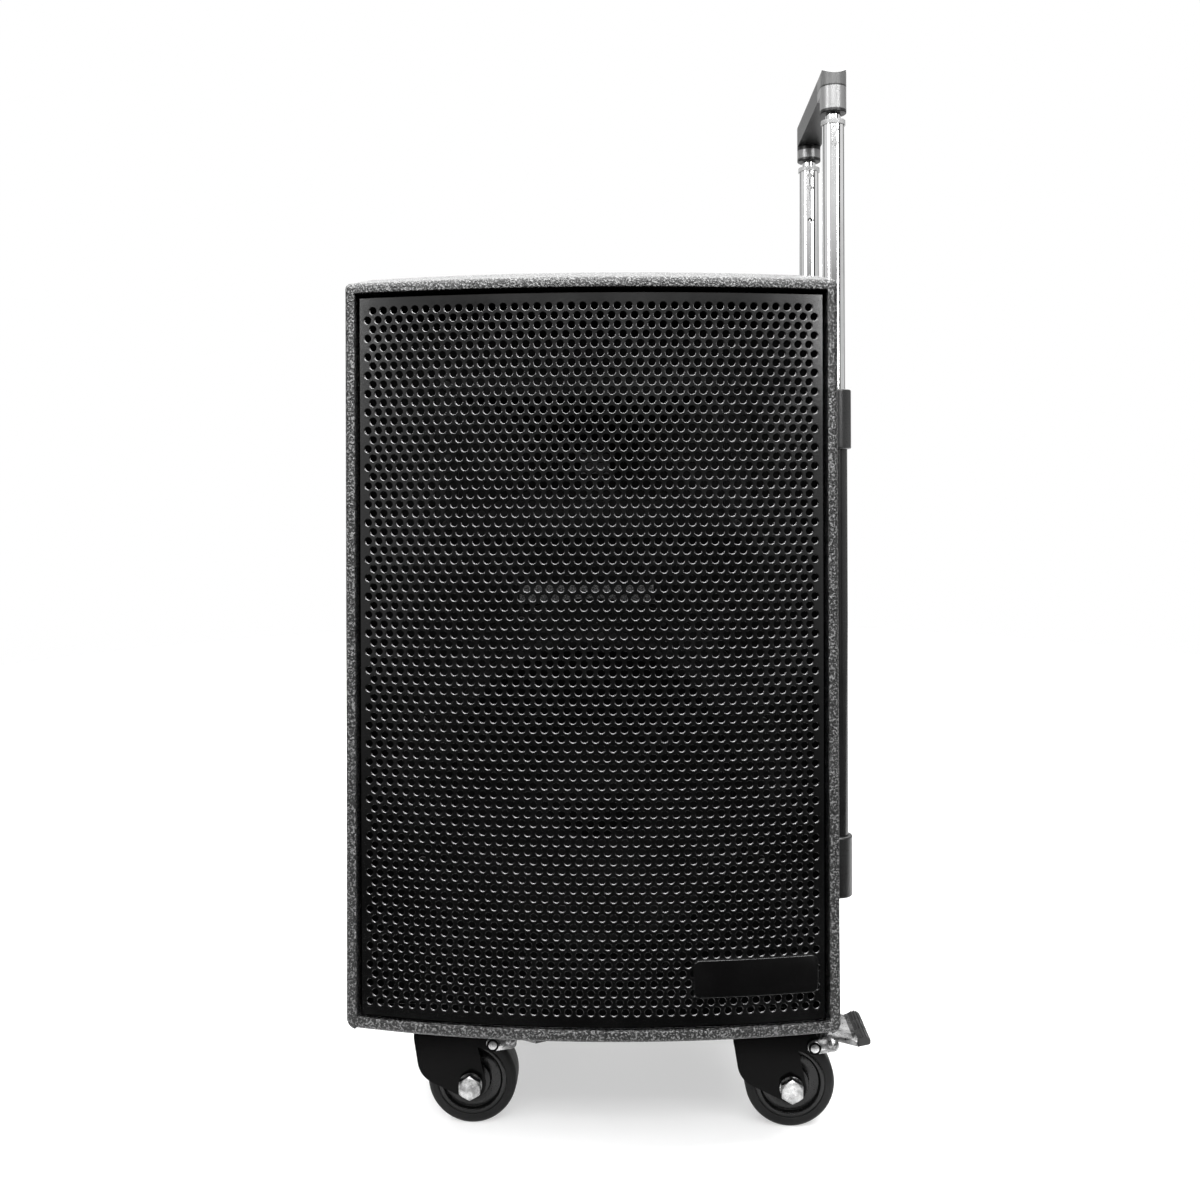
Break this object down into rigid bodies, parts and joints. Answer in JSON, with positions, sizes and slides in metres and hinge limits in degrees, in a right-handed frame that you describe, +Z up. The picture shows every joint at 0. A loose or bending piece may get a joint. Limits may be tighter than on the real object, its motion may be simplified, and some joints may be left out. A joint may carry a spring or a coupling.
{
  "type": "party speaker",
  "caption": "Trolley party speaker: curved perforated grille, woofer and horn inside, telescopic pull handle on one side, swivel casters with brakes, rear amplifier panel.",
  "frame": {"origin": "on the floor, under the middle of the object's overall box", "axes": "+Z up, +X towards the side with the pull handle, +Y from the grille to the back"},
  "size_m": [0.4224, 0.3788, 0.9005],
  "materials": {
    "textured_paint": "textured black paint on board",
    "grille_steel": "satin black powder coat, perforated",
    "badge_plastic": "gloss black, blank",
    "horn_plastic": "matte moulded",
    "speaker_steel": "black enamel",
    "cone_paper": "pressed paper",
    "surround_foam": "soft rubber",
    "magnet_iron": "ferrite and plated steel",
    "coil_former": "wound coil former",
    "screw_steel": "blackened steel",
    "circuit_board": "circuit board",
    "battery_case": "moulded case",
    "amp_plate": "satin black plate",
    "window_glass": "dark display window",
    "socket_plastic": "moulded sockets",
    "knob_plastic": "ribbed knob",
    "port_plastic": "moulded tube",
    "laminations": "laminated core",
    "bracket_plastic": "satin black moulding",
    "black_tube": "black coated tube",
    "chrome_tube": "bright chrome",
    "collar_plastic": "grey moulded bush",
    "grip_black": "satin black grip",
    "grip_silver": "silver-grey satin shell",
    "caster_steel": "black pressed steel",
    "wheel_rubber": "rubber tyre",
    "wheel_hub": "moulded hub",
    "zinc": "bright zinc plate",
    "pedal_pad": "ribbed rubber"
  },
  "bodies": {
    "cabinet": {"top_panel": "textured_paint", "bottom_panel": "textured_paint", "left_side_panel": "textured_paint", "right_side_panel": "textured_paint", "back_panel": "textured_paint", "front_baffle": "textured_paint", "grille": "grille_steel", "badge_plate": "badge_plastic", "horn": "horn_plastic", "woofer_basket": "speaker_steel", "woofer_cone": "cone_paper", "woofer_dust_cap": "cone_paper", "woofer_surround": "surround_foam", "woofer_magnet": "magnet_iron", "compression_driver": "magnet_iron", "woofer_voice_coil": "coil_former", "driver_screws": "screw_steel", "cabinet_screws": "screw_steel", "crossover_board": "circuit_board", "amplifier_board": "circuit_board", "battery": "battery_case", "amplifier_panel": "amp_plate", "display_window": "window_glass", "jack_sockets": "socket_plastic", "mains_inlet": "socket_plastic", "port_tube": "port_plastic", "pole_socket": "port_plastic", "transformer": "laminations", "upper_bracket": "bracket_plastic", "lower_bracket": "bracket_plastic", "outer_tubes": "black_tube", "caster_plates": "caster_steel"},
    "handle_stage_1": {"stage_1_tubes": "chrome_tube", "stage_1_collars": "collar_plastic", "stage_1_rivets": "chrome_tube"},
    "handle_stage_2": {"stage_2_tubes": "chrome_tube", "grip_lower_shell": "grip_black", "grip_upper_shell": "grip_silver"},
    "release_button": {"release_button": "grip_black"},
    "mic_knob": {"mic_knob": "knob_plastic"},
    "bass_knob": {"bass_knob": "knob_plastic"},
    "treble_knob": {"treble_knob": "knob_plastic"},
    "master_knob": {"master_knob": "knob_plastic"},
    "play_button": {"play_button": "knob_plastic"},
    "mode_button": {"mode_button": "knob_plastic"},
    "power_rocker": {"power_rocker": "knob_plastic"},
    "caster_front_left": {"caster_fork_front_left": "caster_steel", "caster_axle_front_left": "zinc"},
    "wheel_front_left": {"caster_wheel_front_left": "wheel_rubber"},
    "brake_pedal_front_left": {"brake_pedal_front_left": "zinc"},
    "caster_front_right": {"caster_fork_front_right": "caster_steel", "caster_axle_front_right": "zinc"},
    "wheel_front_right": {"caster_wheel_front_right": "wheel_rubber"},
    "brake_pedal_front_right": {"brake_pedal_front_right": "zinc"},
    "caster_rear_left": {"caster_fork_rear_left": "caster_steel", "caster_axle_rear_left": "zinc"},
    "wheel_rear_left": {"caster_wheel_rear_left": "wheel_rubber"},
    "caster_rear_right": {"caster_fork_rear_right": "caster_steel", "caster_axle_rear_right": "zinc"},
    "wheel_rear_right": {"caster_wheel_rear_right": "wheel_rubber"}
  },
  "joints": [
    {"name": "handle_stage_1_slide", "type": "slide", "parent": "cabinet", "child": "handle_stage_1", "axis": [0, 0, 1], "range_m": [-0.226, 0]},
    {"name": "handle_stage_2_slide", "type": "slide", "parent": "handle_stage_1", "child": "handle_stage_2", "axis": [0, 0, 1], "range_m": [-0.005, 0.2]},
    {"name": "release_button_press", "type": "slide", "parent": "handle_stage_2", "child": "release_button", "axis": [0, 0, -1], "range_m": [0, 0.004], "stiffness_N_per_m": 500, "springref_m": -0.002},
    {"name": "mic_knob_turn", "type": "hinge", "parent": "cabinet", "child": "mic_knob", "pos_m": [-0.0082, 0.16255, 0.612], "axis": [0, 1, 0], "range_deg": [-150, 150]},
    {"name": "bass_knob_turn", "type": "hinge", "parent": "cabinet", "child": "bass_knob", "pos_m": [0.0278, 0.16255, 0.612], "axis": [0, 1, 0], "range_deg": [-150, 150]},
    {"name": "treble_knob_turn", "type": "hinge", "parent": "cabinet", "child": "treble_knob", "pos_m": [0.0638, 0.16255, 0.612], "axis": [0, 1, 0], "range_deg": [-150, 150]},
    {"name": "master_knob_turn", "type": "hinge", "parent": "cabinet", "child": "master_knob", "pos_m": [0.0278, 0.16255, 0.562], "axis": [0, 1, 0], "range_deg": [-150, 150]},
    {"name": "play_button_press", "type": "slide", "parent": "cabinet", "child": "play_button", "axis": [0, -1, 0], "range_m": [0, 0.002], "stiffness_N_per_m": 500, "springref_m": -0.001},
    {"name": "mode_button_press", "type": "slide", "parent": "cabinet", "child": "mode_button", "axis": [0, -1, 0], "range_m": [0, 0.002], "stiffness_N_per_m": 500, "springref_m": -0.001},
    {"name": "power_rocker_tilt", "type": "hinge", "parent": "cabinet", "child": "power_rocker", "pos_m": [-0.0042, 0.16255, 0.505], "axis": [1, 0, 0], "range_deg": [-16, 0]},
    {"name": "swivel_front_left", "type": "hinge", "parent": "cabinet", "child": "caster_front_left", "pos_m": [-0.1492, -0.09145, 0.08], "axis": [0, 0, 1], "continuous": true},
    {"name": "wheel_front_left_spin", "type": "hinge", "parent": "caster_front_left", "child": "wheel_front_left", "pos_m": [-0.1197, -0.09145, 0.0375], "axis": [0, 1, 0], "continuous": true},
    {"name": "brake_front_left_press", "type": "hinge", "parent": "caster_front_left", "child": "brake_pedal_front_left", "pos_m": [-0.1007, -0.09145, 0.072], "axis": [0, 1, 0], "range_deg": [0, 12]},
    {"name": "swivel_front_right", "type": "hinge", "parent": "cabinet", "child": "caster_front_right", "pos_m": [0.1168, -0.09145, 0.08], "axis": [0, 0, 1], "continuous": true},
    {"name": "wheel_front_right_spin", "type": "hinge", "parent": "caster_front_right", "child": "wheel_front_right", "pos_m": [0.1463, -0.09145, 0.0375], "axis": [0, 1, 0], "continuous": true},
    {"name": "brake_front_right_press", "type": "hinge", "parent": "caster_front_right", "child": "brake_pedal_front_right", "pos_m": [0.1653, -0.09145, 0.072], "axis": [0, 1, 0], "range_deg": [0, 12]},
    {"name": "swivel_rear_left", "type": "hinge", "parent": "cabinet", "child": "caster_rear_left", "pos_m": [-0.1492, 0.11055, 0.08], "axis": [0, 0, 1], "continuous": true},
    {"name": "wheel_rear_left_spin", "type": "hinge", "parent": "caster_rear_left", "child": "wheel_rear_left", "pos_m": [-0.1197, 0.11055, 0.0375], "axis": [0, 1, 0], "continuous": true},
    {"name": "swivel_rear_right", "type": "hinge", "parent": "cabinet", "child": "caster_rear_right", "pos_m": [0.1168, 0.11055, 0.08], "axis": [0, 0, 1], "continuous": true},
    {"name": "wheel_rear_right_spin", "type": "hinge", "parent": "caster_rear_right", "child": "wheel_rear_right", "pos_m": [0.1463, 0.11055, 0.0375], "axis": [0, 1, 0], "continuous": true}
  ]
}
